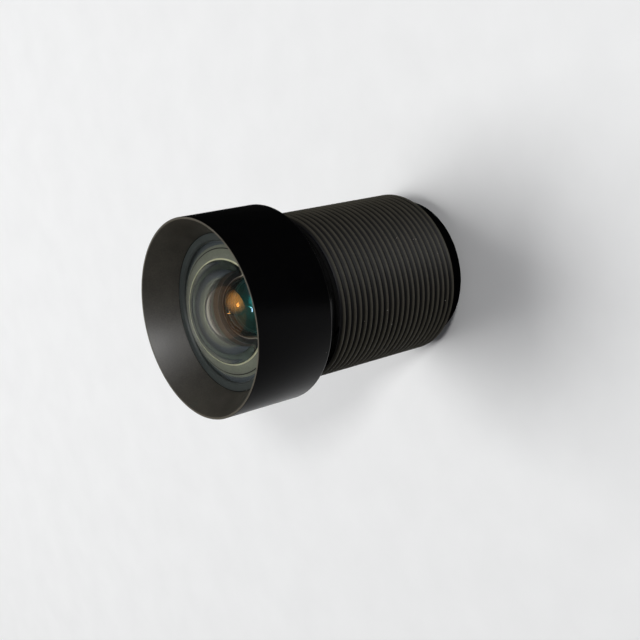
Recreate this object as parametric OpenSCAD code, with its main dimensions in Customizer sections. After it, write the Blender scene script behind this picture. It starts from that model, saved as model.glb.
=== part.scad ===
// Board camera lens on an M12 x 0.5 thread, standing on its rear end.
// The optical axis is Z. z = 0 is the rear face and the hood opens upwards.
// All sizes are in millimetres.

/* [Head and hood] */
// Outer diameter of the head
head_d = 13.9; // [13.5:0.1:18]
// Length of the head, from the front rim to the shoulder behind it
head_length = 6.1; // [5.6:0.1:9]
// Width of the lip around the mouth of the hood
lip_width = 0.15; // [0.12:0.01:0.5]
// Depth of the conical hood, from the rim to its base
hood_depth = 2.26; // [1.8:0.02:2.8]
// Bevel on the head's rear edge
head_bevel = 0.1; // [0.05:0.05:0.3]
// Bevel on the outside of the front rim
rim_bevel = 0.05; // [0.02:0.01:0.1]

/* [Neck, thread and pilot] */
// Depth of the relief groove behind the head, below the thread's crests
neck_step = 0.5; // [0.3:0.05:0.7]
// Least length of the relief groove, which also takes what is left of a turn
neck_length = 1.5; // [1:0.05:3]
// Major diameter of the mounting thread
thread_d = 12; // [12:0.5:14]
// Pitch of the mounting thread
thread_pitch = 0.5; // [0.35:0.05:0.75]
// How far the plain pilot lies below the thread's crests
pilot_step = 0.7; // [0.5:0.05:0.9]
// Length of the plain pilot
pilot_length = 1.45; // [1:0.05:2.5]
// Bevel on the rear edge of the pilot
pilot_bevel = 0.15; // [0.05:0.05:0.3]

/* [Bore] */
// Width of the flat rim around the lens surfaces in the inner stack
stack_rim = 1; // [0.8:0.05:1.3]
// How much wider than the lens surface the bore of a ring is
ring_relief = 0.2; // [0.1:0.05:0.4]
// Radial gap between a lens or ring and the bore that centres it
fit_gap = 0.03; // [0.01:0.01:0.08]
// Thickness of the shoulder that carries the inner stack
rear_seat_thickness = 2.59; // [1.5:0.01:3.5]

/* [Front retaining ring and seal] */
// How far the front retaining ring reaches in over the front lens
front_ring_overlap = 0.15; // [0.1:0.05:0.3]
// Width of the step that the front retaining ring lies on
front_ring_step = 0.45; // [0.3:0.05:0.6]
// Thickness of the front retaining ring
front_ring_thickness = 0.3; // [0.2:0.02:0.4]
// How far the ring's face lies below the hood's base
front_ring_recess = 0; // [0:0.01:0.1]
// Bevel on the ring's inner edge
front_ring_bevel = 0.12; // [0.05:0.01:0.2]
// Width of the rubber seal under the front lens
seal_width = 0.87; // [0.65:0.02:1.1]
// Thickness of the rubber seal under the front lens
seal_thickness = 0.15; // [0.1:0.01:0.25]

/* [Front lens] */
// How far the front lens's edge lies inside the thread's crests
front_lens_inset = 0.9; // [0.8:0.05:1.1]
// Thickness of the front lens at its edge
front_lens_edge = 1.05; // [0.8:0.05:1.4]
// Rise of the front lens's domed front
front_lens_rise = 2.07; // [1.7:0.01:2.3]
// Depth of the front lens's hollow back
front_lens_hollow = 1.82; // [1:0.02:2]
// Width of the flat ground ring around the hollow
ground_ring_width = 2.15; // [2:0.05:2.4]
// Bevel on the front lens's rear edge
front_lens_bevel = 0.2; // [0.1:0.05:0.3]

/* [Second and third lens] */
// Thickness of the second lens at its edge
second_lens_edge = 1.42; // [1.2:0.02:1.8]
// Rise of the second lens's domed front
second_lens_rise = 0.29; // [0.1:0.01:0.5]
// Depth of the second lens's hollow back
second_lens_hollow = 1.03; // [0.5:0.01:1.2]
// Width of the flat rim around the second lens's hollow
second_lens_rim = 1.3; // [1:0.05:1.8]
// Thickness of the third lens at its edge
third_lens_edge = 2; // [1.6:0.05:2.4]
// Rise of the third lens's domed front
third_lens_rise = 0.59; // [0.3:0.01:0.8]
// Rise of the third lens's domed back
third_lens_back_rise = 0.43; // [0.2:0.01:0.6]

/* [Cemented doublet] */
// Thickness of the doublet's front lens at its edge
doublet_front_edge = 0.66; // [0.4:0.02:1]
// Thickness of the doublet's rear lens at its edge
doublet_rear_edge = 2.09; // [1.8:0.01:2.6]
// Rise of the doublet's domed front
doublet_rise = 0.72; // [0.3:0.01:0.8]
// Rise of the cemented surface between the two lenses
cement_rise = 1.19; // [0.6:0.01:1.4]
// Gap that the cement fills
cement_gap = 0.01; // [0.01:0.005:0.03]
// Depth of the doublet's hollow back
doublet_hollow = 0.32; // [0.1:0.01:0.5]
// Width of the flat rim around the doublet's hollow back
doublet_rim = 1.2; // [1:0.05:1.6]

/* [Rear lens and filter] */
// Thickness of the rear lens at its edge
rear_lens_edge = 1.75; // [1.4:0.05:2.1]
// Rise of the rear lens's domed front
rear_lens_rise = 0.53; // [0.2:0.01:0.6]
// Rise of the rear lens's domed back
rear_lens_back_rise = 0.37; // [0.1:0.01:0.6]
// Wall of the pilot around the infrared filter
pilot_wall = 0.92; // [0.7:0.02:1.2]
// Thickness of the infrared filter
filter_thickness = 0.3; // [0.2:0.05:0.5]
// Depth of the filter's seat, from the rear face
filter_seat_depth = 1.5; // [1.2:0.05:1.8]
// Thickness of the ring that holds the filter
filter_ring_thickness = 0.5; // [0.3:0.05:0.6]
// Width of the ring that holds the filter
filter_ring_width = 0.65; // [0.4:0.05:0.9]

/* [Spacers, baffles and stop] */
// Thickness of the spacer behind the front lens
spacer_1_thickness = 0.88; // [0.7:0.02:1.2]
// Thickness of the spacer behind the second lens
spacer_2_thickness = 0.88; // [0.7:0.02:1.2]
// Thickness of the spacer behind the third lens
spacer_3_thickness = 0.9; // [0.8:0.05:1.2]
// Thickness of the spacer in front of the doublet
spacer_4_thickness = 0.75; // [0.7:0.05:1]
// Thickness of the spacer behind the doublet
spacer_5_thickness = 0.65; // [0.6:0.05:0.9]
// Thickness of the film that the baffles are cut from
baffle_thickness = 0.06; // [0.04:0.01:0.1]
// How far the baffle behind the second lens reaches in past the lens's rim
middle_baffle_reach = 0.6; // [0.3:0.05:0.9]
// How far the baffle behind the doublet reaches in past the lens's rim
rear_baffle_reach = 0.8; // [0.4:0.05:1]
// Thickness of the aperture stop
stop_thickness = 0.1; // [0.06:0.02:0.16]
// Opening of the aperture stop
stop_open_d = 3.2; // [2:0.1:4]

/* [Hidden] */
$fn = 128;

// Length beyond a face, so that a cut passes through it
through = 1;

// Radius of a dome or hollow that rises by h over a circle of radius a
function ball_r(a, h) = (a * a + h * h) / (2 * h);

// Height of a ball's cap, of ball radius r, above the circle of radius a on it
function cap_rise(r, a) = r - sqrt(r * r - a * a);

// Radii inside the barrel, from the thread inwards
crest_r = thread_d / 2;
front_lens_r = crest_r - front_lens_inset;
front_cell_r = front_lens_r + fit_gap;
front_ring_open_r = front_lens_r - front_ring_overlap;
hood_base_r = front_lens_r + front_ring_step;
ground_ring_r = front_lens_r - ground_ring_width;
stack_bore_r = front_lens_r - seal_width;
stack_r = stack_bore_r - fit_gap;
optic_r = stack_r - stack_rim;
ring_bore_r = optic_r + ring_relief / 2;

// The stack hangs from the hood's base: how deep each face lies below the rim
front_ball_r = ball_r(front_lens_r, front_lens_rise);
front_rise_at_ring = front_lens_rise - cap_rise(front_ball_r, front_ring_open_r);
front_ring_depth = hood_depth + front_ring_recess + front_ring_thickness;
front_lens_depth = front_ring_depth + front_rise_at_ring + front_lens_edge;
second_lens_depth = front_lens_depth + baffle_thickness + spacer_1_thickness + second_lens_edge;
third_lens_depth = second_lens_depth + baffle_thickness + spacer_2_thickness + third_lens_edge;
stop_depth = third_lens_depth + spacer_3_thickness + stop_thickness;
doublet_depth = stop_depth + spacer_4_thickness + doublet_front_edge + doublet_rear_edge;
rear_lens_depth = doublet_depth + baffle_thickness + spacer_5_thickness + rear_lens_edge;

// The barrel is as long as the stack, its shoulder and the filter's seat need
total_length = rear_lens_depth + rear_seat_thickness + filter_seat_depth;

// Outside of the barrel, from the rear face up: the thread has whole turns
head_z = total_length - head_length;
thread_start_z = pilot_length;
thread_turns = floor((head_z - neck_length - thread_start_z) / thread_pitch);
thread_end_z = thread_start_z + thread_turns * thread_pitch;
head_r = head_d / 2;
neck_r = crest_r - neck_step;
pilot_r = crest_r - pilot_step;

// Filter and its ring, in the pilot
filter_seat_r = pilot_r - pilot_wall;
filter_r = filter_seat_r - fit_gap;
filter_z = filter_seat_depth - filter_thickness;
filter_ring_z = filter_z - filter_ring_thickness;

// Basic 60 degree thread profile
thread_depth = 5 / 8 * thread_pitch * cos(30);
root_r = crest_r - thread_depth;
crest_flat = thread_pitch / 8;
root_flat = thread_pitch / 4;
flank = (thread_pitch - crest_flat - root_flat) / 2;

// Lower face of each piece of the stack, from the rear face up
front_ring_z = total_length - front_ring_depth;
front_lens_z = total_length - front_lens_depth;
front_lens_top_z = front_lens_z + front_lens_edge;
seal_z = front_lens_z - seal_thickness;
front_baffle_z = front_lens_z - baffle_thickness;
spacer_1_z = front_baffle_z - spacer_1_thickness;
second_lens_z = total_length - second_lens_depth;
middle_baffle_z = second_lens_z - baffle_thickness;
spacer_2_z = middle_baffle_z - spacer_2_thickness;
third_lens_z = total_length - third_lens_depth;
spacer_3_z = third_lens_z - spacer_3_thickness;
stop_z = total_length - stop_depth;
spacer_4_z = stop_z - spacer_4_thickness;
doublet_z = total_length - doublet_depth;
cement_z = doublet_z + doublet_rear_edge;
rear_baffle_z = doublet_z - baffle_thickness;
spacer_5_z = rear_baffle_z - spacer_5_thickness;
rear_lens_z = total_length - rear_lens_depth;

// One ridge of the thread, as points up the outside of the section
function ridge(z) = [
    [root_r, z + root_flat / 2],
    [crest_r, z + root_flat / 2 + flank],
    [crest_r, z + root_flat / 2 + flank + crest_flat],
    [root_r, z + thread_pitch - root_flat / 2]
];

// Outside of the section, from the rear face to the rim
outside = concat(
    [
        [pilot_r - pilot_bevel, 0],
        [pilot_r, pilot_bevel],
        [pilot_r, thread_start_z],
        [root_r, thread_start_z]
    ],
    [for (turn = [0 : thread_turns - 1]) each ridge(thread_start_z + turn * thread_pitch)],
    [
        [root_r, thread_end_z],
        [neck_r, thread_end_z],
        [neck_r, head_z],
        [head_r - head_bevel, head_z],
        [head_r, head_z + head_bevel],
        [head_r, total_length - rim_bevel],
        [head_r - rim_bevel, total_length]
    ]
);

// Inside of the section, from the rim down to the rear face
inside = [
    [head_r - lip_width, total_length],
    [hood_base_r, total_length - hood_depth],
    [hood_base_r, front_lens_top_z],
    [front_cell_r, front_lens_top_z],
    [front_cell_r, seal_z],
    [stack_bore_r, seal_z],
    [stack_bore_r, rear_lens_z],
    [ring_bore_r, rear_lens_z],
    [ring_bore_r, filter_seat_depth],
    [filter_seat_r, filter_seat_depth],
    [filter_seat_r, 0]
];

// A flat ring between two radii, from z up
module flat_ring(r, open_r, z, thickness) {
    translate([0, 0, z])
        difference() {
            cylinder(r = r, h = thickness);
            translate([0, 0, -through])
                cylinder(r = open_r, h = thickness + 2 * through);
        }
}

// The ball whose cap rises by h over the circle of radius a at z
module ball_over(a, h, z) {
    ball = ball_r(a, h);
    translate([0, 0, z + h - ball])
        sphere(r = ball);
}

// A dome that rises by h over the circle of radius a at z
module dome_up(a, h, z) {
    intersection() {
        ball_over(a, h, z);
        translate([0, 0, z])
            cylinder(r = 2 * a, h = 2 * h);
    }
}

// The same dome hanging below the circle
module dome_down(a, h, z) {
    translate([0, 0, z])
        mirror([0, 0, 1])
            dome_up(a, h, 0);
}

module barrel() {
    color([0.06, 0.06, 0.065])
        rotate_extrude()
            polygon(concat(outside, inside));
}

module front_retaining_ring() {
    outer_r = hood_base_r - fit_gap;
    open_r = front_ring_open_r;
    top_z = front_ring_z + front_ring_thickness;
    color([0.12, 0.13, 0.16])
        rotate_extrude()
            polygon([
                [open_r, front_ring_z],
                [outer_r, front_ring_z],
                [outer_r, top_z],
                [open_r + front_ring_bevel, top_z],
                [open_r, top_z - front_ring_bevel]
            ]);
}

module front_seal() {
    color([0.02, 0.02, 0.02])
        flat_ring(front_lens_r, stack_bore_r, seal_z, seal_thickness);
}

module front_lens() {
    inner_r = front_lens_r - front_lens_bevel;
    color([0.35, 0.5, 0.52, 0.5])
        difference() {
            union() {
                dome_up(front_lens_r, front_lens_rise, front_lens_top_z);
                translate([0, 0, front_lens_z + front_lens_bevel])
                    cylinder(r = front_lens_r, h = front_lens_edge - front_lens_bevel);
                translate([0, 0, front_lens_z])
                    cylinder(r1 = inner_r, r2 = front_lens_r, h = front_lens_bevel);
            }
            ball_over(ground_ring_r, front_lens_hollow, front_lens_z);
        }
}

module front_baffle() {
    color([0.03, 0.03, 0.03])
        flat_ring(stack_r, ground_ring_r + ring_relief / 2, front_baffle_z, baffle_thickness);
}

module spacer_1() {
    color([0.1, 0.1, 0.11])
        flat_ring(stack_r, ring_bore_r, spacer_1_z, spacer_1_thickness);
}

module second_lens() {
    color([0.4, 0.55, 0.5, 0.5]) {
        difference() {
            translate([0, 0, second_lens_z])
                cylinder(r = stack_r, h = second_lens_edge);
            ball_over(stack_r - second_lens_rim, second_lens_hollow, second_lens_z);
        }
        dome_up(optic_r, second_lens_rise, second_lens_z + second_lens_edge);
    }
}

module middle_baffle() {
    color([0.03, 0.03, 0.03])
        flat_ring(stack_r, optic_r - middle_baffle_reach, middle_baffle_z, baffle_thickness);
}

module spacer_2() {
    color([0.1, 0.1, 0.11])
        flat_ring(stack_r, ring_bore_r, spacer_2_z, spacer_2_thickness);
}

// A lens that bulges on both sides, with a flat rim between
module twice_domed_lens(z, edge, front_rise, back_rise) {
    translate([0, 0, z])
        cylinder(r = stack_r, h = edge);
    dome_up(optic_r, front_rise, z + edge);
    dome_down(optic_r, back_rise, z);
}

module third_lens() {
    color([0.5, 0.45, 0.35, 0.5])
        twice_domed_lens(third_lens_z, third_lens_edge, third_lens_rise, third_lens_back_rise);
}

module spacer_3() {
    color([0.1, 0.1, 0.11])
        flat_ring(stack_r, ring_bore_r, spacer_3_z, spacer_3_thickness);
}

module aperture_stop() {
    color([0.02, 0.02, 0.02])
        flat_ring(stack_r, stop_open_d / 2, stop_z, stop_thickness);
}

module spacer_4() {
    color([0.1, 0.1, 0.11])
        flat_ring(stack_r, ring_bore_r, spacer_4_z, spacer_4_thickness);
}

module doublet_front_lens() {
    color([0.45, 0.5, 0.6, 0.5]) {
        translate([0, 0, cement_z])
            cylinder(r = stack_r, h = doublet_front_edge);
        dome_down(stack_r, cement_rise, cement_z);
        dome_up(optic_r, doublet_rise, cement_z + doublet_front_edge);
    }
}

module doublet_rear_lens() {
    color([0.5, 0.55, 0.45, 0.5])
        difference() {
            translate([0, 0, doublet_z])
                cylinder(r = stack_r, h = doublet_rear_edge - cement_gap);
            translate([0, 0, cement_z - cement_gap])
                mirror([0, 0, 1])
                    ball_over(stack_r, cement_rise, 0);
            ball_over(stack_r - doublet_rim, doublet_hollow, doublet_z);
        }
}

module rear_baffle() {
    color([0.03, 0.03, 0.03])
        flat_ring(stack_r, optic_r - rear_baffle_reach, rear_baffle_z, baffle_thickness);
}

module spacer_5() {
    color([0.1, 0.1, 0.11])
        flat_ring(stack_r, ring_bore_r, spacer_5_z, spacer_5_thickness);
}

module rear_lens() {
    color([0.4, 0.5, 0.55, 0.5])
        twice_domed_lens(rear_lens_z, rear_lens_edge, rear_lens_rise, rear_lens_back_rise);
}

module ir_cut_filter() {
    color([0.7, 0.35, 0.4, 0.5])
        translate([0, 0, filter_z])
            cylinder(r = filter_r, h = filter_thickness);
}

module filter_retaining_ring() {
    color([0.08, 0.08, 0.09])
        flat_ring(filter_r, filter_r - filter_ring_width, filter_ring_z, filter_ring_thickness);
}

barrel();
front_retaining_ring();
front_seal();
front_lens();
front_baffle();
spacer_1();
second_lens();
middle_baffle();
spacer_2();
third_lens();
spacer_3();
aperture_stop();
spacer_4();
doublet_front_lens();
doublet_rear_lens();
rear_baffle();
spacer_5();
rear_lens();
ir_cut_filter();
filter_retaining_ring();
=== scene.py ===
"""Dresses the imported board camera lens: threaded barrel, coated glass, rings and a plain studio."""
import math

import bpy
from mathutils import Matrix, Vector


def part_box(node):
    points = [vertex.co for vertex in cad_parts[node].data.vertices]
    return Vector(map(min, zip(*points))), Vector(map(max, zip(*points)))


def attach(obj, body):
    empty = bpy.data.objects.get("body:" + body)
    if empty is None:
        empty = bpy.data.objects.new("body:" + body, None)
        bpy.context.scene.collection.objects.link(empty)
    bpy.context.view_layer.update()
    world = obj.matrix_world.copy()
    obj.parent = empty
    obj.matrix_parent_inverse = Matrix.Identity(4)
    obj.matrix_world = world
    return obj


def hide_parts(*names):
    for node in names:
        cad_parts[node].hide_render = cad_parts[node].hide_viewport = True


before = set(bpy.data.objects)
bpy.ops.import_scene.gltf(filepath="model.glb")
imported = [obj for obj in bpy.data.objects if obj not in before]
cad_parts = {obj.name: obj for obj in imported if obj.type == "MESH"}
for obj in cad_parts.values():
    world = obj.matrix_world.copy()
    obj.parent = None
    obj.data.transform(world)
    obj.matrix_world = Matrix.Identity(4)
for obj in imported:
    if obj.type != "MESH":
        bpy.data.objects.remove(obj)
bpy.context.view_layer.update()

bl_info = {
    "name": "Board camera lens",
    "version": (1, 0, 0),
    "blender": (4, 5, 0),
    "location": "View3D > Sidebar > Board lens",
    "description": "Builds the dressed pieces of a board camera lens on its packed model",
    "category": "Object",
}

MM = 0.001

# Running fit of the pieces in the bore, in millimetres
FIT_GAP = 0.03
# Glass is set back by this from the rings it rests on, because faces in one place shadow each other
SEAT_GAP = 0.012

# Barrel, in millimetres: what the box of a CAD node doesn't give
HEAD_LENGTH = 6.1
LIP_WIDTH = 0.15
NECK_R = 5.5
THREAD_CREST_R = 6.0
THREAD_START = 1.45
THREAD_END = 12.45
STANDARD_PITCH = 0.5
PILOT_R = 5.3
RING_BORE_R = 3.3
REAR_SEAT_STEP = 0.37
FILTER_SEAT_DEPTH = 1.5
NECK_ROUNDING = 0.06
SHOULDER_ROUNDING = 0.1
RIM_ROUNDING = 0.04
FINE_ROUNDING = 0.02
MOUTH_ROUNDING = 0.05
REAR_ROUNDING = 0.15

# Front retaining ring, in millimetres
RING_OPEN_R = 4.95
RING_BEVEL = 0.12
RING_FOOT_WIDTH = 0.3

# Front lens, in millimetres: dome, hollow back, polished step round the hollow, inked ground rim
FRONT_RISE = 2.07
HOLLOW_DEPTH = 1.82
GROUND_RING_R = 2.95
STEP_WIDTH = 0.07
STEP_HEIGHT = 0.06
FRONT_CHAMFER = 0.2
INK_START_R = 3.94
INK_LINE_R = 3.7
INK_LINE_WIDTH = 0.085

# Lenses behind it and the filter, in millimetres
OPTIC_R = 3.2
EDGE_CHAMFER = 0.06
HOLLOW_RIM = 1.3
FLAT_RIM_R = 2.3
BANDS_START_R = 2.45
DOUBLET_FRONT_RISE = 0.72
DOUBLET_EDGE = 0.66
DOUBLET_BACK_RISE = 0.32
DOUBLET_BACK_RIM = 1.2
CEMENT_RISE = -1.19
CEMENT_LAYER = 0.01
FILTER_CHAMFER = 0.04

# Steps of the finely turned pieces
BARREL_STEPS = 160
FRONT_LENS_STEPS = 144
THREAD_STEPS = 96

# How near points are welded, and how near a face is to a size that picks its finish, in millimetres
TURNED_WELD = 0.0002
THREAD_WELD = 0.001
NEAR = 0.01
LEVEL = 0.001

# Stage, in metres. Only the camera's place is in millimetres
LENS_MIDDLE = (0, 0, 0.012)
FLOOR_R = 0.9
FLOOR_INSET = 0.5
FLOOR_FADE = (0.1, 0.26)
DARK_CARD_SIZE = 0.4
DARK_CARD_PLACE = (0.1945, 0, 0.00002)
GLOW_AIM = (0.36, -0.57, 0.74)
GLOW_DISTANCE = 0.25
GLOW_R = 0.18
SENSOR_WIDTH = 36
CAMERA_PLACE = (0, -69.0305, 63.318)
CAMERA_RIGHT = (-0.228294, -0.600187, -0.766588)
CAMERA_UP = (0.973296, -0.121279, -0.194899)
CAMERA_BACK = (0.024004, -0.790611, 0.611848)
SKY_SEEN = (0.8, 0.81, 0.82)
SKY_MIRRORED = (0.3, 0.285, 0.24)
SKY_LIGHT = (0.12, 0.12, 0.13)

# Lamps: name, place and side in metres, the setting of its power, the rays that don't meet it
LAMPS = (
    ("window", (-0.014, -0.059, 0.268), 0.025, "window_power", ("diffuse",)),
    ("key_soft", (0.04, -0.136, 0.16), 0.03, "key_power", ()),
    ("back_soft", (0.04, 0.15, 0.28), 0.2, "fill_power", ("glossy", "transmission")),
)


def low(node):
    """Height of a CAD node's lower end, in millimetres."""
    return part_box(node)[0].z / MM


def high(node):
    """Height of a CAD node's upper end, in millimetres."""
    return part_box(node)[1].z / MM


def radius(node):
    """Outer radius of a turned CAD node, in millimetres."""
    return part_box(node)[1].x / MM


def tone(colour, factor):
    """The colour made darker or lighter by a factor."""
    return tuple(c * factor for c in colour)


def clear_selection():
    """Leaves edit mode and deselects everything."""
    if bpy.context.mode != "OBJECT":
        bpy.ops.object.mode_set(mode="OBJECT")
    bpy.ops.object.select_all(action="DESELECT")


def arc(centre, start, end, turns_left, count):
    """Points between start and end on the circle around centre."""
    a = math.atan2(start[1] - centre[1], start[0] - centre[0])
    b = math.atan2(end[1] - centre[1], end[0] - centre[0])
    if turns_left and b < a:
        b += 2 * math.pi
    if not turns_left and b > a:
        b -= 2 * math.pi
    r = math.hypot(start[0] - centre[0], start[1] - centre[1])
    steps = [a + (b - a) * i / count for i in range(1, count)]
    return [(centre[0] + r * math.cos(t), centre[1] + r * math.sin(t)) for t in steps]


def cap(a, h, z, count=28):
    """Points of a ball's cap from its rim, radius a at z, to the axis at z + h."""
    ball = (a * a + h * h) / (2 * abs(h))
    sign = 1 if h > 0 else -1
    centre = z + h - sign * ball
    reach = math.asin(a / ball)
    steps = [reach * (1 - i / count) for i in range(count + 1)]
    return [(ball * math.sin(t), centre + sign * ball * math.cos(t)) for t in steps]


def rounded(points, count=3):
    """Rounds each corner that comes with a radius: points are (r, z) or (r, z, rounding)."""
    out = []
    last = len(points)
    for i, point in enumerate(points):
        here = Vector(point[:2])
        if len(point) < 3 or not 0 < i < last - 1:
            out.append(tuple(here))
            continue
        before = (Vector(points[i - 1][:2]) - here).normalized()
        after = (Vector(points[i + 1][:2]) - here).normalized()
        half = before.angle(after) / 2
        reach = point[2] / math.tan(half)
        centre = here + (before + after).normalized() * (point[2] / math.sin(half))
        start, end = here + before * reach, here + after * reach
        left = (start - here).x * (end - here).y - (start - here).y * (end - here).x < 0
        out += [tuple(start), *arc(centre, start, end, left, count), tuple(end)]
    return out


def draw_profile(name, points):
    """Starts from one point and extrudes it from point to point in the XZ plane."""
    clear_selection()
    first = Vector((points[0][0] * MM, 0, points[0][1] * MM))
    bpy.ops.mesh.primitive_plane_add(size=MM, location=(0, 0, 0))
    piece = bpy.context.object
    piece.name = piece.data.name = name
    bpy.ops.object.mode_set(mode="EDIT")
    bpy.ops.mesh.merge(type="CENTER")
    bpy.ops.transform.translate(value=first)
    for (r0, z0), (r1, z1) in zip(points, points[1:]):
        step = ((r1 - r0) * MM, 0, (z1 - z0) * MM)
        bpy.ops.mesh.extrude_region_move(TRANSFORM_OT_translate={"value": step})
    return piece


def turn(name, points, steps=128):
    """Spins a profile round the Z axis and turns its faces outwards."""
    piece = draw_profile(name, points)
    bpy.ops.mesh.select_all(action="SELECT")
    bpy.ops.mesh.spin(steps=steps, angle=2 * math.pi, center=(0, 0, 0), axis=(0, 0, 1))
    bpy.ops.mesh.select_all(action="SELECT")
    bpy.ops.mesh.remove_doubles(threshold=TURNED_WELD * MM)
    bpy.ops.mesh.delete_loose(use_verts=True, use_edges=True, use_faces=False)
    bpy.ops.mesh.select_all(action="SELECT")
    bpy.ops.mesh.normals_make_consistent(inside=False)
    bpy.ops.object.mode_set(mode="OBJECT")
    return piece


def smooth(piece, degrees=30):
    """Smooth shading, with edges above the angle kept sharp."""
    clear_selection()
    piece.select_set(True)
    bpy.context.view_layer.objects.active = piece
    bpy.ops.object.shade_smooth_by_angle(angle=math.radians(degrees))


def paint_faces(piece, materials, choose):
    """Gives each face the slot that choose returns for its centre and normal, in millimetres."""
    for material in materials:
        piece.data.materials.append(material)
    for face in piece.data.polygons:
        c = face.center / MM
        face.material_index = choose(math.hypot(c.x, c.y), c.z, face.normal.z)


def hand_in(piece, node):
    """The piece stands for its CAD node, which it hides, and rides on the root body."""
    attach(piece, "root")
    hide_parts(node)


def add(tree, kind, **inputs):
    """Adds a node. Names with an underscore in front are its properties, others its sockets."""
    node = tree.nodes.new(kind)
    for key, value in inputs.items():
        if key.startswith("_"):
            setattr(node, key[1:], value)
        else:
            node.inputs[key.replace("__", " ")].default_value = value
    return node


def link(tree, source, output, target, socket):
    """Joins an output of one node to a socket of another."""
    tree.links.new(source.outputs[output], target.inputs[socket])


def math_node(tree, operation, a, b=None, clamp=False):
    """The (node, output) of a Math node. a and b are numbers or (node, output)."""
    node = add(tree, "ShaderNodeMath", _operation=operation, _use_clamp=clamp)
    for index, value in enumerate((a, b)):
        if isinstance(value, tuple):
            link(tree, *value, node, index)
        elif value is not None:
            node.inputs[index].default_value = value
    return node, 0


def map_range(tree, value, before, after=(0.0, 1.0), soft=False):
    """The (node, output) that maps the range before to the range after."""
    node = add(
        tree, "ShaderNodeMapRange", _interpolation_type="SMOOTHSTEP" if soft else "LINEAR",
        From__Min=before[0], From__Max=before[1], To__Min=after[0], To__Max=after[1])
    link(tree, *value, node, "Value")
    return node, "Result"


def colour_steps(tree, factor, stops):
    """The (node, output) of a colour ramp with (place, colour) stops."""
    ramp = tree.nodes.new("ShaderNodeValToRGB")
    while len(ramp.color_ramp.elements) < len(stops):
        ramp.color_ramp.elements.new(0.5)
    for element, (place, colour) in zip(ramp.color_ramp.elements, stops):
        element.position = place
        element.color = (*colour, 1)
    link(tree, *factor, ramp, "Fac")
    return ramp, "Color"


def mix_colour(tree, factor, a, b, blend="MIX"):
    """The (node, output) of two mixed colours. The inputs are values or (node, output)."""
    node = add(tree, "ShaderNodeMix", _data_type="RGBA", _blend_type=blend)
    for socket, value in ((0, factor), (6, a), (7, b)):
        if isinstance(value, tuple) and isinstance(value[0], bpy.types.Node):
            link(tree, *value, node, socket)
        else:
            node.inputs[socket].default_value = value if socket == 0 else (*value, 1)
    return node, 2


def add_bump(tree, shader, height, depth, strength=1.0, under=None):
    """A bump of a depth in millimetres, laid over the bump under it."""
    node = add(tree, "ShaderNodeBump", Distance=depth * MM, Strength=strength)
    link(tree, *height, node, "Height")
    if under:
        link(tree, under, "Normal", node, "Normal")
    link(tree, node, "Normal", shader, "Normal")
    return node


def new_group(name, inputs, outputs):
    """An empty node group: inputs are (name, default), outputs (name, kind of value)."""
    tree = bpy.data.node_groups.new(name, "ShaderNodeTree")
    for label, default in inputs:
        socket = tree.interface.new_socket(
            name=label, in_out="INPUT", socket_type="NodeSocketFloat")
        socket.default_value = default
    for label, kind in outputs:
        tree.interface.new_socket(name=label, in_out="OUTPUT", socket_type="NodeSocket" + kind)
    return tree, tree.nodes.new("NodeGroupInput"), tree.nodes.new("NodeGroupOutput")


def use_group(tree, group, **inputs):
    """Puts a node group into a tree and sets its inputs."""
    return add(tree, "ShaderNodeGroup", _node_tree=group, **inputs)


def turned_place_group():
    """Place on the lens in millimetres: position, distance from the axis and height."""
    tree, _, out = new_group(
        "turned_place", [], [("Position", "Vector"), ("Radius", "Float"), ("Height", "Float")])
    place = add(tree, "ShaderNodeTexCoord")
    scale = add(tree, "ShaderNodeVectorMath", _operation="SCALE", Scale=1 / MM)
    link(tree, place, "Object", scale, 0)
    parts = add(tree, "ShaderNodeSeparateXYZ")
    link(tree, scale, "Vector", parts, 0)
    x2 = math_node(tree, "MULTIPLY", (parts, "X"), (parts, "X"))
    y2 = math_node(tree, "MULTIPLY", (parts, "Y"), (parts, "Y"))
    r = math_node(tree, "SQRT", math_node(tree, "ADD", x2, y2))
    link(tree, scale, "Vector", out, "Position")
    link(tree, *r, out, "Radius")
    link(tree, parts, "Z", out, "Height")
    return tree


def anodised_grain_group(place):
    """Fine blasted grain of anodising: a height for bump and a tone that varies slowly."""
    tree, into, out = new_group(
        "anodised_grain", [("Grain Scale", 14.0), ("Contrast", 0.5)],
        [("Height", "Float"), ("Tone", "Float")])
    here = use_group(tree, place)
    grain = add(tree, "ShaderNodeTexNoise", Detail=3.0, Roughness=0.65)
    link(tree, here, "Position", grain, "Vector")
    link(tree, into, "Grain Scale", grain, "Scale")
    slow = add(tree, "ShaderNodeTexNoise", Scale=0.8, Detail=2.0)
    link(tree, here, "Position", slow, "Vector")
    fine_share = math_node(tree, "MULTIPLY", (grain, "Fac"), 0.65)
    slow_share = math_node(tree, "MULTIPLY", (slow, "Fac"), 0.35)
    both = math_node(tree, "ADD", fine_share, slow_share)
    centred = math_node(tree, "SUBTRACT", both, 0.5)
    strong = math_node(tree, "MULTIPLY", centred, (into, "Contrast"))
    link(tree, grain, "Fac", out, "Height")
    link(tree, *math_node(tree, "ADD", strong, 0.5, clamp=True), out, "Tone")
    return tree


def turning_lines_group(place):
    """Lathe lines that run round the axis: a height for bump."""
    tree, into, out = new_group("turning_lines", [("Lines per mm", 12.0)], [("Height", "Float")])
    here = use_group(tree, place)
    flat = add(tree, "ShaderNodeCombineXYZ")
    link(tree, here, "Radius", flat, "X")
    link(tree, here, "Height", flat, "Z")
    lines = add(tree, "ShaderNodeTexNoise", Detail=2.0)
    link(tree, flat, "Vector", lines, "Vector")
    link(tree, into, "Lines per mm", lines, "Scale")
    link(tree, lines, "Fac", out, "Height")
    return tree


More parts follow.
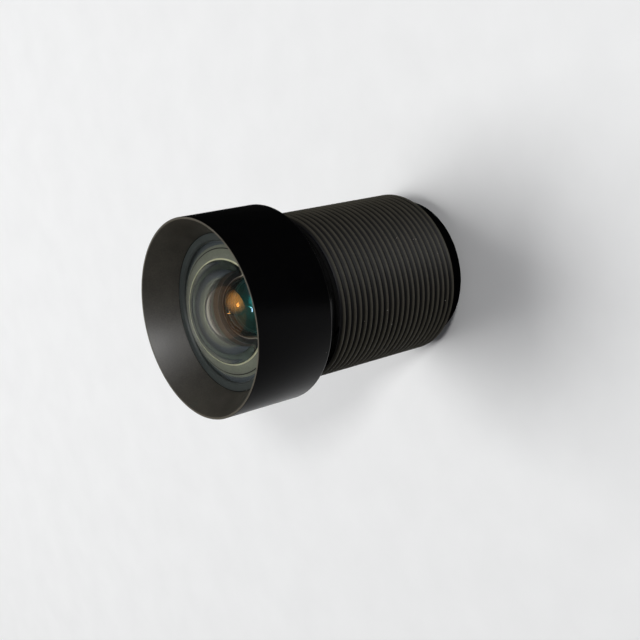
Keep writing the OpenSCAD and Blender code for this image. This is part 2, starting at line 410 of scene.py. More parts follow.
def dust_group(place):
    """Sparse specks of dust with bent outlines: a mask."""
    tree, into, out = new_group(
        "dust_specks", [("Speck Scale", 2.2), ("Speck Size", 0.05), ("Share", 0.08)],
        [("Mask", "Float")])
    here = use_group(tree, place)
    bend = add(tree, "ShaderNodeTexNoise", Scale=9.0, Detail=1.0)
    link(tree, here, "Position", bend, "Vector")
    shift = add(tree, "ShaderNodeVectorMath", _operation="SCALE", Scale=0.12)
    link(tree, bend, "Color", shift, 0)
    moved = add(tree, "ShaderNodeVectorMath", _operation="ADD")
    link(tree, here, "Position", moved, 0)
    link(tree, shift, "Vector", moved, 1)
    cells = add(tree, "ShaderNodeTexVoronoi")
    link(tree, moved, "Vector", cells, "Vector")
    link(tree, into, "Speck Scale", cells, "Scale")
    close = math_node(tree, "LESS_THAN", (cells, "Distance"), (into, "Speck Size"))
    parts = add(tree, "ShaderNodeSeparateColor")
    link(tree, cells, "Color", parts, 0)
    chosen = math_node(tree, "LESS_THAN", (parts, "Red"), (into, "Share"))
    link(tree, *math_node(tree, "MULTIPLY", close, chosen), out, "Mask")
    return tree


GROUPS = {}


def groups():
    """The shared node groups, built once."""
    if not GROUPS:
        place = turned_place_group()
        GROUPS["place"] = place
        GROUPS["grain"] = anodised_grain_group(place)
        GROUPS["lines"] = turning_lines_group(place)
        GROUPS["dust"] = dust_group(place)
    return GROUPS


def start_material(name, **sockets):
    """A material with one Principled shader whose plain sockets are set."""
    material = bpy.data.materials.new(name)
    material.use_nodes = True
    tree = material.node_tree
    shader = tree.nodes["Principled BSDF"]
    for key, value in sockets.items():
        shader.inputs[key.replace("_", " ")].default_value = value
    material.diffuse_color = shader.inputs["Base Color"].default_value
    return material, tree, shader


def anodised(name, dark, light, roughness, specular, grain_scale=14.0, contrast=1.0,
             grain_depth=0.0015, lines=0.0, line_depth=0.0, dust=0.0):
    """Black anodised aluminium with grain, lathe lines and a few specks of dust."""
    shared = groups()
    material, tree, shader = start_material(
        name, Base_Color=(*dark, 1), Roughness=roughness, Specular_IOR_Level=specular, Metallic=0.0)
    grain = use_group(tree, shared["grain"], Grain__Scale=grain_scale, Contrast=contrast)
    colour = colour_steps(tree, (grain, "Tone"), [(0.25, dark), (0.75, light)])
    if dust:
        specks = use_group(tree, shared["dust"], Share=dust)
        colour = mix_colour(tree, (specks, "Mask"), colour, (0.35, 0.33, 0.3))
    link(tree, *colour, shader, "Base Color")
    rough = map_range(tree, (grain, "Tone"), (0.0, 1.0), (roughness - 0.06, roughness + 0.06))
    link(tree, *rough, shader, "Roughness")
    relief = add_bump(tree, shader, (grain, "Height"), grain_depth)
    if lines:
        turned = use_group(tree, shared["lines"], Lines__per__mm=lines)
        add_bump(tree, shader, (turned, "Height"), line_depth, under=relief)
    return material


def thread_material(settings):
    """Brownish grey ridges with painted highlight towards the crest and painted shade towards the
    root, nearly black in the grooves: the colour follows the radius.
    """
    shared = groups()
    ridge = tuple(settings.ridge_colour)
    material, tree, shader = start_material(
        "anodised_thread", Base_Color=(*ridge, 1), Roughness=0.48, Specular_IOR_Level=0.16)
    here = use_group(tree, shared["place"])
    root = THREAD_CREST_R - settings.thread_depth
    depth = map_range(tree, (here, "Radius"), (root, THREAD_CREST_R))
    # Painted shade and highlight: the colour darkens from the ridge to nearly black at the root of
    # the thread, and lightens towards the crest.
    shaded = colour_steps(tree, depth, [
        (0.0, tuple(settings.groove_painted_shade)), (0.45, tone(ridge, 0.06)), (0.72, ridge),
        (1.0, tone(ridge, 1.35))])
    grain = use_group(tree, shared["grain"], Grain__Scale=9.0, Contrast=1.2)
    patchy = mix_colour(tree, (grain, "Tone"), (0.55, 0.55, 0.55), (1.4, 1.38, 1.34))
    colour = mix_colour(tree, 1, shaded, patchy, "MULTIPLY")
    specks = use_group(tree, shared["dust"], Share=0.1, Speck__Scale=2.9, Speck__Size=0.075)
    dusty = mix_colour(tree, (specks, "Mask"), colour, (0.4, 0.38, 0.34))
    link(tree, *dusty, shader, "Base Color")
    add_bump(tree, shader, (grain, "Height"), 0.004)
    return material


def coated_glass(name, coating, index, tint=(1, 1, 1)):
    """Polished glass with a coloured anti-reflection coating and a faint film of smudges."""
    material, tree, shader = start_material(
        name, Base_Color=(*tint, 1), Roughness=0.0, IOR=index, Transmission_Weight=1.0,
        Specular_Tint=(*coating, 1))
    here = use_group(tree, groups()["place"])
    smudge = add(tree, "ShaderNodeTexNoise", Scale=0.9, Detail=4.0, Roughness=0.7)
    link(tree, here, "Position", smudge, "Vector")
    film = map_range(tree, (smudge, "Fac"), (0.5, 0.8), (0.0, 0.02))
    link(tree, *film, shader, "Roughness")
    let_light_through(tree, shader, tint)
    return material


def let_light_through(tree, shader, tint):
    """Lamps shine straight through the glass onto what lies behind it."""
    clear = add(tree, "ShaderNodeBsdfTransparent", Color=(*tint, 1))
    path = add(tree, "ShaderNodeLightPath")
    both = add(tree, "ShaderNodeMixShader")
    link(tree, path, "Is Shadow Ray", both, 0)
    link(tree, shader, 0, both, 1)
    link(tree, clear, 0, both, 2)
    link(tree, both, 0, tree.nodes["Material Output"], "Surface")


def ground_glass(name, light, ink=None):
    """Ground glass, light grey. With ink its outer part is inked, with a ragged edge and a line."""
    shared = groups()
    material, tree, shader = start_material(
        name, Base_Color=(*light, 1), Roughness=0.55, Specular_IOR_Level=0.3)
    grain = use_group(tree, shared["grain"], Grain__Scale=7.0, Contrast=1.0)
    colour = colour_steps(
        tree, (grain, "Tone"), [(0.2, tone(light, 0.75)), (0.8, tone(light, 1.2))])
    if ink:
        here = use_group(tree, shared["place"])
        ragged = add(tree, "ShaderNodeTexNoise", Scale=4.5, Detail=4.0, Roughness=0.7)
        link(tree, here, "Position", ragged, "Vector")
        wander = math_node(tree, "MULTIPLY", (ragged, "Fac"), 0.2)
        edge = math_node(tree, "ADD", (here, "Radius"), wander)
        inked = math_node(tree, "GREATER_THAN", edge, INK_START_R + 0.1)
        off = math_node(tree, "SUBTRACT", (here, "Radius"), INK_LINE_R)
        away = math_node(tree, "ABSOLUTE", off)
        lined = math_node(tree, "LESS_THAN", away, INK_LINE_WIDTH / 2)
        colour = mix_colour(tree, inked, colour, ink)
        colour = mix_colour(tree, lined, colour, (0.003, 0.003, 0.003))
    link(tree, *colour, shader, "Base Color")
    add_bump(tree, shader, (grain, "Height"), 0.004, 0.7)
    return material


def banded_glass(name, bands):
    """Ground glass whose colour changes in rings of painted light and reflection: bands are (outer
    radius in mm, colour).
    """
    shared = groups()
    material, tree, shader = start_material(
        name, Base_Color=(*bands[0][1], 1), Roughness=0.5, Specular_IOR_Level=0.3)
    here = use_group(tree, shared["place"])
    inner, outer = bands[0][0], bands[-1][0]
    span = map_range(tree, (here, "Radius"), (inner, outer))
    rings = colour_steps(
        tree, span, [((r - inner) / (outer - inner), colour) for r, colour in bands])
    grain = use_group(tree, shared["grain"], Grain__Scale=7.0, Contrast=1.0)
    patchy = mix_colour(tree, (grain, "Tone"), (0.75, 0.75, 0.75), (1.25, 1.25, 1.25))
    link(tree, *mix_colour(tree, 1, rings, patchy, "MULTIPLY"), shader, "Base Color")
    add_bump(tree, shader, (grain, "Height"), 0.003, 0.7)
    return material


def colour_property(label, default, text):
    """A colour setting for the panel."""
    return bpy.props.FloatVectorProperty(
        name=label, description=text, default=default, size=3, min=0, max=1, subtype="COLOR")


class BarrelSettings(bpy.types.PropertyGroup):
    """Thread sizes and colours of the barrel"""
    thread_pitch: bpy.props.FloatProperty(
        name="Thread pitch", description="Rise of one turn of the mounting thread, in millimetres",
        default=STANDARD_PITCH, min=0.35, max=0.75)
    thread_depth: bpy.props.FloatProperty(
        name="Thread depth", description="Depth of the mounting thread, in millimetres",
        default=0.27, min=0.1, max=0.45)
    shell_colour: colour_property(
        "Anodised shell", (0.001, 0.001, 0.0012), "Colour of the head's outside")
    hood_colour: colour_property(
        "Hood cone", (0.026, 0.0235, 0.019), "Colour of the cone inside the hood")
    # The thread material lightens the ridge colour towards the crest as painted highlight.
    ridge_colour: colour_property(
        "Thread ridges", (0.046, 0.043, 0.034), "Colour of the thread's worn ridges")
    # Painted shade: the colour that the thread material puts at the bottom of the grooves.
    groove_painted_shade: colour_property(
        "Thread grooves", (0.001, 0.001, 0.003), "Colour at the bottom of the thread")


class GlassSettings(bpy.types.PropertyGroup):
    """Coatings and ground rim of the lenses"""
    front_coating: colour_property(
        "Front coating", (0.06, 0.1, 0.16), "Reflection colour of the front lens")
    inner_coating: colour_property(
        "Inner coating", (1.0, 0.42, 0.07), "Reflection colour of the front lens's hollow back")
    deep_coating: colour_property(
        "Deep coating", (0.05, 0.7, 0.65), "Reflection colour of the lenses behind it")
    ground_colour: colour_property(
        "Ground rim", (0.085, 0.092, 0.072), "Colour of the front lens's ground ring")


class RingSettings(bpy.types.PropertyGroup):
    """Colours of the rings"""
    ring_colour: colour_property(
        "Retaining ring", (0.027, 0.032, 0.031), "Colour of the front retaining ring")
    spacer_colour: colour_property(
        "Spacers", (0.012, 0.012, 0.013), "Colour of the blackened rings inside")


class StageSettings(bpy.types.PropertyGroup):
    """Floor, camera and lamps"""
    floor_colour: colour_property(
        "Floor", (0.9, 0.905, 0.9), "Colour of the plain floor")
    focal_length: bpy.props.FloatProperty(
        name="Focal length", description="Focal length of the camera", default=67.75, min=20,
        max=200, unit="CAMERA")
    window_power: bpy.props.FloatProperty(
        name="Window lamp", description="Power of the small window-like lamp, in watts",
        default=0.1, min=0, max=10)
    glow_strength: bpy.props.FloatProperty(
        name="Glow card", description="Brightness of the disc that is seen only in reflections",
        default=4.0, min=0, max=20)
    key_power: bpy.props.FloatProperty(
        name="Key lamp", description="Power of the soft lamp that shines into the hood, in watts",
        default=0.13, min=0, max=10)
    fill_power: bpy.props.FloatProperty(
        name="Top lamp", description="Power of the wide lamp above the lens, in watts",
        default=0.8, min=0, max=10)


class LENS_OT_barrel(bpy.types.Operator):
    """Builds the barrel: head, hood, neck, pilot and the mounting thread as one helix"""
    bl_idname = "lens.barrel"
    bl_label = "Barrel with thread"

    def execute(self, context):
        settings = context.scene.barrel_settings
        top = high("barrel")
        head_r = radius("barrel")
        head_z = top - HEAD_LENGTH
        base_r = radius("front_retaining_ring") + FIT_GAP
        base_z = high("front_retaining_ring")
        cell_r = radius("front_lens") + FIT_GAP
        seal_z = low("front_seal")
        bore_r = radius("spacer_1") + FIT_GAP
        seat_z = low("rear_lens") + REAR_SEAT_STEP
        filter_r = radius("ir_cut_filter") + FIT_GAP
        lens_top = high("front_lens") - FRONT_RISE
        body = turn("barrel_shell", rounded([
            (NECK_R, THREAD_END),
            (NECK_R, head_z, NECK_ROUNDING),
            (head_r, head_z, SHOULDER_ROUNDING),
            (head_r, top, RIM_ROUNDING),
            (head_r - LIP_WIDTH, top, FINE_ROUNDING),
            (base_r, base_z, FINE_ROUNDING),
            (base_r, lens_top),
            (cell_r, lens_top),
            (cell_r, seal_z),
            (bore_r, seal_z),
            (bore_r, seat_z),
            (RING_BORE_R, seat_z),
            (RING_BORE_R, FILTER_SEAT_DEPTH),
            (filter_r, FILTER_SEAT_DEPTH),
            (filter_r, 0, MOUTH_ROUNDING),
            (PILOT_R, 0, REAR_ROUNDING),
            (PILOT_R, THREAD_START),
        ]), BARREL_STEPS)
        piece = self.join(body, self.helix(settings))
        piece.name = piece.data.name = "threaded_barrel"
        shell, hood, neck, lip, bore, thread = range(6)
        shoulder = SHOULDER_ROUNDING + NEAR
        outside = NECK_R - 0.2
        thread_foot = NECK_R - 0.1

        def choose(r, z, up):
            """The slot of a face of the barrel."""
            if z > top - RIM_ROUNDING and head_r - LIP_WIDTH - 0.03 < r < head_r - 0.02:
                return lip
            if z > base_z - NEAR and r < head_r - 0.05:
                return hood
            if z > head_z + shoulder and r > THREAD_CREST_R:
                return shell
            if z > head_z - NEAR and r > outside and up < -0.3:
                return shell
            if THREAD_END - LEVEL < z < head_z + shoulder + NEAR and r > outside:
                return neck
            if THREAD_START - LEVEL < z < THREAD_END + LEVEL and r > thread_foot:
                return thread
            if r < PILOT_R - 0.05 and z > REAR_ROUNDING + 0.05 or r < filter_r + 0.04:
                return bore
            return shell

        paint_faces(piece, self.finishes(settings), choose)
        smooth(piece, 28)
        hand_in(piece, "barrel")
        return {"FINISHED"}

    def finishes(self, settings):
        """The barrel's materials, in the order of its slots."""
        shell_colour = tuple(settings.shell_colour)
        shell = anodised(
            "anodised_shell", shell_colour, tone(shell_colour, 2.2), 0.3, 0.05, grain_scale=16,
            lines=22, line_depth=0.0008, dust=0.06)
        hood = anodised(
            "hood_cone", tone(settings.hood_colour, 0.6), tone(settings.hood_colour, 1.5), 0.42,
            0.5, grain_scale=9, contrast=1.6, grain_depth=0.006, lines=7, line_depth=0.002,
            dust=0.04)
        neck = anodised(
            "polished_neck", (0.004, 0.004, 0.004), (0.008, 0.008, 0.008), 0.16, 0.5,
            lines=30, line_depth=0.0006)
        # Painted highlight: the lip is coloured lighter and warmer than the shell, to stand for the
        # light that its flat face catches.
        lip = anodised(
            "worn_lip", (0.05, 0.045, 0.036), (0.11, 0.1, 0.08), 0.4, 0.3, grain_depth=0.001)
        bore = anodised(
            "blackened_bore", (0.006, 0.006, 0.006), (0.012, 0.012, 0.012), 0.6, 0.2,
            lines=9, line_depth=0.003)
        return [shell, hood, neck, lip, bore, thread_material(settings)]

    def helix(self, settings):
        """One pitch of the ridge, screwed up round the axis and cut flat at both ends."""
        pitch = settings.thread_pitch
        crest = THREAD_CREST_R
        root = crest - settings.thread_depth
        flank = [
            (root, 0.0), (root + 0.004, 0.055), (root + 0.03, 0.085), (crest - 0.035, 0.2),
            (crest - 0.006, 0.225)]
        ridge = [*flank, (crest, STANDARD_PITCH / 2)]
        ridge += [(r, STANDARD_PITCH - z) for r, z in reversed(flank)]
        start = THREAD_START - pitch
        thread = draw_profile(
            "thread", [(r, z * pitch / STANDARD_PITCH + start) for r, z in ridge])
        bpy.ops.object.mode_set(mode="OBJECT")
        screw = thread.modifiers.new("turns", "SCREW")
        screw.axis = "Z"
        screw.angle = 2 * math.pi
        screw.screw_offset = pitch * MM
        screw.iterations = round((THREAD_END - THREAD_START) / pitch) + 1
        screw.steps = screw.render_steps = THREAD_STEPS
        screw.use_merge_vertices = False
        bpy.ops.object.modifier_apply(modifier=screw.name)
        bpy.ops.object.mode_set(mode="EDIT")
        bpy.ops.mesh.select_all(action="SELECT")
        bpy.ops.mesh.remove_doubles(threshold=THREAD_WELD * MM)
        for z, below in ((THREAD_START, True), (THREAD_END, False)):
            bpy.ops.mesh.select_all(action="SELECT")
            bpy.ops.mesh.bisect(
                plane_co=(0, 0, z * MM), plane_no=(0, 0, 1), use_fill=False,
                clear_inner=below, clear_outer=not below, threshold=1e-9)
        bpy.ops.object.mode_set(mode="OBJECT")
        return thread

    def join(self, body, thread):
        """Joins the thread to the body and bridges the open loops at both of its ends."""
        clear_selection()
        thread.select_set(True)
        body.select_set(True)
        bpy.context.view_layer.objects.active = body
        bpy.ops.object.join()
        for z in (THREAD_START, THREAD_END):
            bpy.ops.object.mode_set(mode="EDIT")
            bpy.ops.mesh.select_mode(type="EDGE")
            bpy.ops.mesh.select_all(action="DESELECT")
            bpy.ops.object.mode_set(mode="OBJECT")
            self.select_open_edges(body.data, z * MM)
            bpy.ops.object.mode_set(mode="EDIT")
            bpy.ops.mesh.bridge_edge_loops()
        bpy.ops.mesh.select_mode(type="VERT")
        bpy.ops.mesh.select_all(action="SELECT")
        bpy.ops.mesh.normals_make_consistent(inside=False)
        bpy.ops.object.mode_set(mode="OBJECT")
        return body

    def select_open_edges(self, mesh, height, slack=2e-7):
        """Selects the edges at a height in metres that have only one face."""
        uses = {}
        for face in mesh.polygons:
            for key in face.edge_keys:
                uses[key] = uses.get(key, 0) + 1
        for edge in mesh.edges:
            level = all(abs(mesh.vertices[v].co.z - height) < slack for v in edge.vertices)
            edge.select = level and uses.get(edge.key, 0) == 1


class LENS_OT_retaining_ring(bpy.types.Operator):
    """Builds the front retaining ring with its turned face and broken inner edge"""
    bl_idname = "lens.retaining_ring"
    bl_label = "Front retaining ring"

    def execute(self, context):
        r = radius("front_retaining_ring")
        z0, z1 = low("front_retaining_ring"), high("front_retaining_ring")
        foot_r = r - RING_FOOT_WIDTH
        piece = turn("front_ring", rounded([
            (foot_r, z0),
            (RING_OPEN_R, z0),
            (RING_OPEN_R, z1 - RING_BEVEL, FINE_ROUNDING),
            (RING_OPEN_R + RING_BEVEL, z1, FINE_ROUNDING),
            (r, z1, RIM_ROUNDING),
            (r, z0),
            (foot_r, z0),
        ]), BARREL_STEPS)
        face = context.scene.ring_settings.ring_colour
        piece.data.materials.append(anodised(
            "turned_ring", tone(face, 0.8), tone(face, 1.3), 0.38, 0.2, grain_scale=12, lines=16,
            line_depth=0.0016, dust=0.05))
        smooth(piece)
        hand_in(piece, "front_retaining_ring")
        return {"FINISHED"}


class LENS_OT_front_lens(bpy.types.Operator):
    """Builds the domed front lens with its hollow back, ground ring and inked edge"""
    bl_idname = "lens.front_lens"
    bl_label = "Front lens"

    def execute(self, context):
        settings = context.scene.glass_settings
        r = radius("front_lens")
        z0 = low("front_lens") + SEAT_GAP
        top = high("front_lens") - FRONT_RISE
        step_r = GROUND_RING_R + STEP_WIDTH
        piece = turn("front_glass", [
            *reversed(cap(r, FRONT_RISE, top, 36)),
            (r, z0 + FRONT_CHAMFER),
            (r - FRONT_CHAMFER, z0),
            (step_r, z0),
            (GROUND_RING_R - NEAR, z0 + STEP_HEIGHT),
            *cap(GROUND_RING_R, HOLLOW_DEPTH, z0)[2:],
        ], FRONT_LENS_STEPS)
        dome, ground, step, hollow, side = range(5)

        def choose(rr, z, up):
            """The slot of a face of the front lens."""
            if up < -0.05 and rr < GROUND_RING_R - 2 * NEAR and z > z0 + NEAR:
                return hollow
            if z < z0 + STEP_HEIGHT - NEAR and GROUND_RING_R < rr < step_r:
                return step
            if z < top - NEAR and rr > r - NEAR:
                return side
            if z < z0 + FRONT_CHAMFER + NEAR and rr > step_r - 2 * NEAR:
                return ground
            return dome

        paint_faces(piece, [
            coated_glass("front_coated_glass", tuple(settings.front_coating), 1.8),
            ground_glass("ground_ring", tuple(settings.ground_colour), (0.028, 0.034, 0.038)),
            # Painted highlight: the polished step round the hollow is coloured light cream, to stand
            # for its glint.
            banded_glass("polished_step", [(2.9, (0.34, 0.34, 0.23)), (3.1, (0.3, 0.3, 0.2))]),
            coated_glass("hollow_coated_glass", tuple(settings.inner_coating), 1.8),
            ground_glass("inked_side", (0.11, 0.145, 0.12)),
        ], choose)
        smooth(piece, 20)
        hand_in(piece, "front_lens")
        return {"FINISHED"}


class LENS_OT_inner_lenses(bpy.types.Operator):
    """Builds the lenses behind the front one, with polished caps and ground rims"""
    bl_idname = "lens.inner_lenses"
    bl_label = "Inner lenses"

    def execute(self, context):
        r = radius("second_lens")
        ground = ground_glass("ground_rim", (0.1, 0.1, 0.09))
        # Painted reflection and light on the second lens's back: a brown ring for the warm coating
        # reflection and a light cream ring for light through the dome, then dark and grey-green
        # rings.
        bands = banded_glass("second_lens_bands", [
            (2.4, (0.05, 0.035, 0.022)), (2.58, (0.05, 0.035, 0.022)), (2.61, (0.3, 0.28, 0.22)),
            (2.69, (0.3, 0.28, 0.22)), (2.72, (0.02, 0.02, 0.02)), (3.4, (0.03, 0.035, 0.03))])
        for node, front_rise, back_rise, back_r, index, finishes in (
                ("second_lens", 0.29, 1.03, r - HOLLOW_RIM, 1.7, (ground, bands)),
                ("third_lens", 0.59, -0.43, OPTIC_R, 1.75, (ground,)),
                ("rear_lens", 0.53, -0.37, OPTIC_R, 1.7, (ground,))):
            z0 = low(node) - min(back_rise, 0) + SEAT_GAP
            z1 = high(node) - front_rise - SEAT_GAP
            self.lens(context, node, z0, z1, index, finishes, [
                *reversed(cap(OPTIC_R, front_rise, z1)),
                *self.front_edge(r, z1),
                *self.back_edge(r, z0),
                *cap(back_r, back_rise, z0),
            ])
        z0 = low("doublet_rear_lens") + SEAT_GAP
        z1 = high("doublet_front_lens") - DOUBLET_FRONT_RISE - SEAT_GAP
        cement = z1 - DOUBLET_EDGE
        self.lens(context, "doublet_front_lens", cement, z1, 1.6, (ground,), [
            *reversed(cap(OPTIC_R, DOUBLET_FRONT_RISE, z1)),
            *self.front_edge(r, z1),
            *cap(r, CEMENT_RISE, cement),
        ])
        self.lens(context, "doublet_rear_lens", z0, cement, 1.75, (ground,), [
            *reversed(cap(r, CEMENT_RISE, cement - CEMENT_LAYER)),
            *self.back_edge(r, z0),
            *cap(r - DOUBLET_BACK_RIM, DOUBLET_BACK_RISE, z0),
        ])
        return {"FINISHED"}

    def front_edge(self, r, z):
        """The chamfer at the front of a lens's rim."""
        return [(r - EDGE_CHAMFER, z), (r, z - EDGE_CHAMFER)]

    def back_edge(self, r, z):
        """The chamfer at the back of a lens's rim."""
        return [(r, z + EDGE_CHAMFER), (r - EDGE_CHAMFER, z)]

    def lens(self, context, node, z0, z1, index, finishes, profile):
        """Turns one lens. z0 and z1 are the heights of its rim."""
        piece = turn(node + "_glass", profile)
        r = radius("second_lens")
        coating = tuple(context.scene.glass_settings.deep_coating)
        glass = coated_glass(node + "_coating", coating, index)

        def choose(rr, z, up):
            """The slot of a face: polished glass, ground rim or the second lens's bands."""
            if rr > r - EDGE_CHAMFER - 0.005 and z0 - NEAR < z < z1 + NEAR:
                return 1
            if node == "second_lens" and up < 0 and rr > BANDS_START_R:
                return 2
            level = min(abs(z - z0), abs(z - z1)) < LEVEL
            return 1 if abs(up) > 0.999 and rr > FLAT_RIM_R and level else 0

        paint_faces(piece, [glass, *finishes], choose)
        smooth(piece, 20)
        hand_in(piece, node)


class LENS_OT_rings_inside(bpy.types.Operator):
    """Gives the spacers, baffles, stop, seal and filter ring their finishes, with painted reflection
    colours on two spacers
    """
    bl_idname = "lens.rings_inside"
    bl_label = "Rings inside"

    def execute(self, context):
        colour = context.scene.ring_settings.spacer_colour
        turned = {"lines": 10, "line_depth": 0.004}
        spacer = anodised("matt_spacer", tone(colour, 0.7), tone(colour, 1.5), 0.55, 0.4, **turned)
        film = anodised(
            "black_film", (0.004, 0.004, 0.004), (0.009, 0.009, 0.009), 0.6, 0.3, grain_scale=20)
        rubber = anodised(
            "seal_rubber_finish", (0.006, 0.006, 0.006), (0.012, 0.012, 0.012), 0.75, 0.3,
            grain_scale=8, grain_depth=0.004)
        # Painted reflection: spacer_2 is tinted grey-green, to stand for the teal coating reflection
        # seen through the glass.
        grey = anodised(
            "grey_spacer", (0.014, 0.022, 0.018), (0.03, 0.044, 0.036), 0.5, 0.4, **turned)
        # Painted reflection: spacer_1 is tinted brown, to stand for the warm coating reflection seen
        # through the glass.
        brown = anodised(
            "brown_spacer", (0.05, 0.035, 0.022), (0.09, 0.065, 0.042), 0.5, 0.4, **turned)
        for finish, nodes in (
                (brown, ("spacer_1",)),
                (grey, ("spacer_2",)),
                (spacer, ("spacer_3", "spacer_4", "spacer_5", "filter_retaining_ring")),
                (film, ("front_baffle", "middle_baffle", "rear_baffle", "aperture_stop")),
                (rubber, ("front_seal",))):
            for node in nodes:
                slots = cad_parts[node].data.materials
                slots.clear()
                slots.append(finish)
        return {"FINISHED"}


class LENS_OT_filter(bpy.types.Operator):
    """Builds the infrared filter with its coated faces and ground edge"""
    bl_idname = "lens.filter"
    bl_label = "Infrared filter"

    def execute(self, context):
        r = radius("ir_cut_filter")
        z0, z1 = low("ir_cut_filter"), high("ir_cut_filter")
        face_r = r - FILTER_CHAMFER
        piece = turn("filter_disc", [
            (0, z1), (face_r, z1), (r, z1 - FILTER_CHAMFER), (r, z0 + FILTER_CHAMFER),
            (face_r, z0), (0, z0)])
        glass = coated_glass("filter_coating", (1.0, 0.35, 0.45), 1.9, (0.75, 0.95, 0.95))
        ground = ground_glass("filter_edge", (0.12, 0.12, 0.12))
        paint_faces(piece, [glass, ground], lambda rr, z, up: 0 if abs(up) > 0.9 else 1)
        smooth(piece)
        hand_in(piece, "ir_cut_filter")
        return {"FINISHED"}


class LENS_OT_stage(bpy.types.Operator):
    """Sets the plain floor, the soft lamps, the world and the camera"""
    bl_idname = "lens.stage"
    bl_label = "Studio stage"

    def execute(self, context):
        settings = context.scene.stage_settings
        self.floor(settings)
        for name, place, side, power, rays in LAMPS:
            lamp = self.lamp(name, place, side, getattr(settings, power))
            self.hide_from(lamp, rays)
        self.glow_card(settings)
        self.dark_card()
        self.sky(context.scene)
        self.camera(context.scene, settings)
        context.scene.view_settings.view_transform = "Standard"
        return {"FINISHED"}

    def hide_from(self, thing, rays):
        """Lets kinds of ray pass by a lamp or a card as if it weren't there."""
        for ray in rays:
            setattr(thing, "visible_" + ray, False)

    def floor(self, settings):
        """A round paper floor that fades out into the sky."""
        clear_selection()
        bpy.ops.mesh.primitive_circle_add(vertices=96, radius=FLOOR_R, fill_type="NGON")
        floor = bpy.context.object
        floor.name = floor.data.name = "plain_floor"
        bpy.ops.object.mode_set(mode="EDIT")
        bpy.ops.mesh.select_all(action="SELECT")
        bpy.ops.mesh.inset(thickness=FLOOR_INSET)
        bpy.ops.object.mode_set(mode="OBJECT")
        paper = self.paper("plain_paper", tuple(settings.floor_colour), fades=True)
        floor.data.materials.append(paper)

    def dark_card(self):
        """A black card on the floor beside the lens that is seen only in gloss."""
        clear_selection()
        bpy.ops.mesh.primitive_plane_add(size=DARK_CARD_SIZE, location=DARK_CARD_PLACE)
        card = bpy.context.object
        card.name = card.data.name = "dark_card"
        bpy.ops.object.transform_apply(location=True, rotation=True, scale=True)
        card.data.materials.append(self.paper("black_card", (0.01, 0.01, 0.01)))
        self.hide_from(card, ("camera", "diffuse", "shadow", "transmission"))

    def glow_card(self, settings):
        """A softly glowing disc, brightest in its middle, seen only in gloss and glass."""
        clear_selection()
        bpy.ops.mesh.primitive_circle_add(vertices=64, radius=GLOW_R, fill_type="NGON")
        card = bpy.context.object
        card.name = card.data.name = "glow_card"
        aim = Vector(GLOW_AIM).normalized()
        turn_to = aim.to_track_quat("Z", "Y").to_matrix().to_4x4()
        card.data.transform(Matrix.Translation(aim * GLOW_DISTANCE) @ turn_to)
        material, tree, shader = start_material(
            "soft_glow", Base_Color=(0, 0, 0, 1), Roughness=1.0, Specular_IOR_Level=0.0,
            Emission_Strength=settings.glow_strength)
        place = add(tree, "ShaderNodeTexCoord")
        off_middle = add(tree, "ShaderNodeVectorMath", _operation="DISTANCE")
        link(tree, place, "Object", off_middle, 0)
        off_middle.inputs[1].default_value = aim * GLOW_DISTANCE
        fade = map_range(tree, (off_middle, "Value"), (0.0, GLOW_R), (1.0, 0.0), soft=True)
        glow = mix_colour(tree, fade, (0, 0, 0), (1, 1, 1))
        link(tree, *glow, shader, "Emission Color")
        card.data.materials.append(material)
        self.hide_from(card, ("camera", "diffuse", "shadow"))

    def paper(self, name, colour, fades=False):
        """Matt paper with fibres. The floor's paper fades into the white background."""
        material, tree, shader = start_material(
            name, Base_Color=(*colour, 1), Roughness=0.9, Specular_IOR_Level=0.1)
        place = add(tree, "ShaderNodeTexCoord")
        fibres = add(tree, "ShaderNodeTexNoise", Scale=220.0, Detail=5.0)
        link(tree, place, "Object", fibres, "Vector")
        shades = colour_steps(tree, (fibres, "Fac"), [(0.3, tone(colour, 0.97)), (0.7, colour)])
        link(tree, *shades, shader, "Base Color")
        if fades:
            reach = add(tree, "ShaderNodeVectorMath", _operation="LENGTH")
            link(tree, place, "Object", reach, 0)
            fade = map_range(tree, (reach, "Value"), FLOOR_FADE, (1.0, 0.0), soft=True)
            link(tree, *fade, shader, "Alpha")
        return material

    def lamp(self, name, place, side, power):
        """A square lamp that is aimed at the middle of the lens."""
        light = bpy.data.lights.new(name, "AREA")
        light.shape = "SQUARE"
        light.size = side
        light.energy = power
        holder = bpy.data.objects.new(name, light)
        bpy.context.scene.collection.objects.link(holder)
        holder.location = place
        aim = Vector(LENS_MIDDLE) - Vector(place)
        holder.rotation_mode = "QUATERNION"
        holder.rotation_quaternion = aim.to_track_quat("-Z", "Y")
        return holder

    def sky(self, scene):
        """A dim world that shows white to the camera and pale and warm in gloss and glass."""
        world = bpy.data.worlds.new("plain_sky")
        scene.world = world
        world.use_nodes = True
        tree = world.node_tree
        background = tree.nodes["Background"]
        path = add(tree, "ShaderNodeLightPath")
        mirrored = math_node(
            tree, "MAXIMUM", (path, "Is Glossy Ray"), (path, "Is Transmission Ray"))
        unseen = mix_colour(tree, mirrored, SKY_LIGHT, SKY_MIRRORED)
        colour = mix_colour(tree, (path, "Is Camera Ray"), unseen, SKY_SEEN)
        link(tree, *colour, background, "Color")
        background.inputs["Strength"].default_value = 1.0

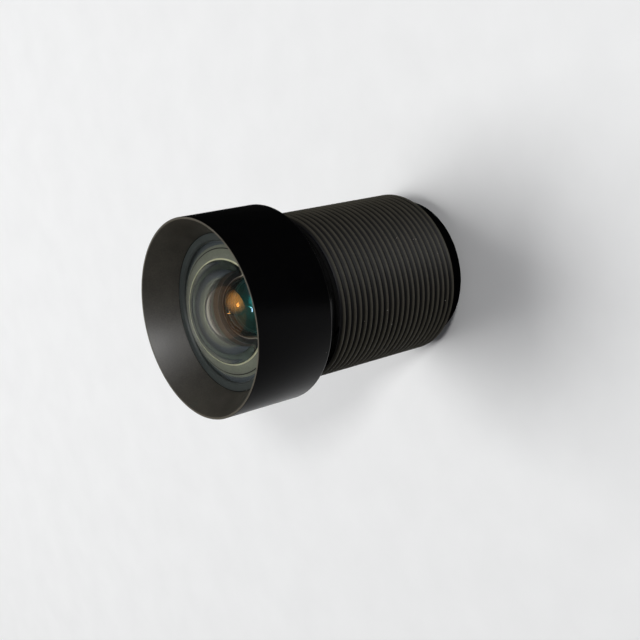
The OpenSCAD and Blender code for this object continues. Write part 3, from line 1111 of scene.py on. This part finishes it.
    def camera(self, scene, settings):
        """The camera at the photograph's angle, rolled so that the lens lies in the frame."""
        camera = bpy.data.cameras.new("photo_camera")
        holder = bpy.data.objects.new("photo_camera", camera)
        scene.collection.objects.link(holder)
        camera.lens = settings.focal_length
        camera.sensor_width = SENSOR_WIDTH
        camera.clip_start, camera.clip_end = 0.001, 10
        axes = Matrix((CAMERA_RIGHT, CAMERA_UP, CAMERA_BACK)).transposed().to_4x4()
        holder.matrix_world = Matrix.Translation([v * MM for v in CAMERA_PLACE]) @ axes
        scene.camera = holder


class LENS_PT_board_lens(bpy.types.Panel):
    """Lists the settings and the steps that build the lens"""
    bl_idname = "LENS_PT_board_lens"
    bl_label = "Board camera lens"
    bl_space_type = "VIEW_3D"
    bl_region_type = "UI"
    bl_category = "Board lens"

    def draw(self, context):
        for group in SETTINGS_GROUPS:
            box = self.layout.box()
            settings = getattr(context.scene, group)
            for name in settings.__annotations__:
                box.prop(settings, name)
        for step in STEPS:
            self.layout.operator(step.bl_idname)


SETTINGS_GROUPS = {
    "barrel_settings": BarrelSettings,
    "glass_settings": GlassSettings,
    "ring_settings": RingSettings,
    "stage_settings": StageSettings,
}
STEPS = (
    LENS_OT_barrel, LENS_OT_retaining_ring, LENS_OT_front_lens, LENS_OT_inner_lenses,
    LENS_OT_rings_inside, LENS_OT_filter, LENS_OT_stage)


def register():
    """Registers the classes and puts the settings on the scene."""
    for kind in (*SETTINGS_GROUPS.values(), *STEPS, LENS_PT_board_lens):
        bpy.utils.register_class(kind)
    for name, kind in SETTINGS_GROUPS.items():
        setattr(bpy.types.Scene, name, bpy.props.PointerProperty(type=kind))


def unregister():
    """Takes the settings off the scene and unregisters the classes."""
    for name in SETTINGS_GROUPS:
        delattr(bpy.types.Scene, name)
    for kind in (*SETTINGS_GROUPS.values(), *STEPS, LENS_PT_board_lens):
        bpy.utils.unregister_class(kind)


def main():
    """Builds all pieces and the stage."""
    register()
    bpy.ops.lens.barrel()
    bpy.ops.lens.retaining_ring()
    bpy.ops.lens.front_lens()
    bpy.ops.lens.inner_lenses()
    bpy.ops.lens.rings_inside()
    bpy.ops.lens.filter()
    bpy.ops.lens.stage()
    clear_selection()


if __name__ == "__main__":
    main()
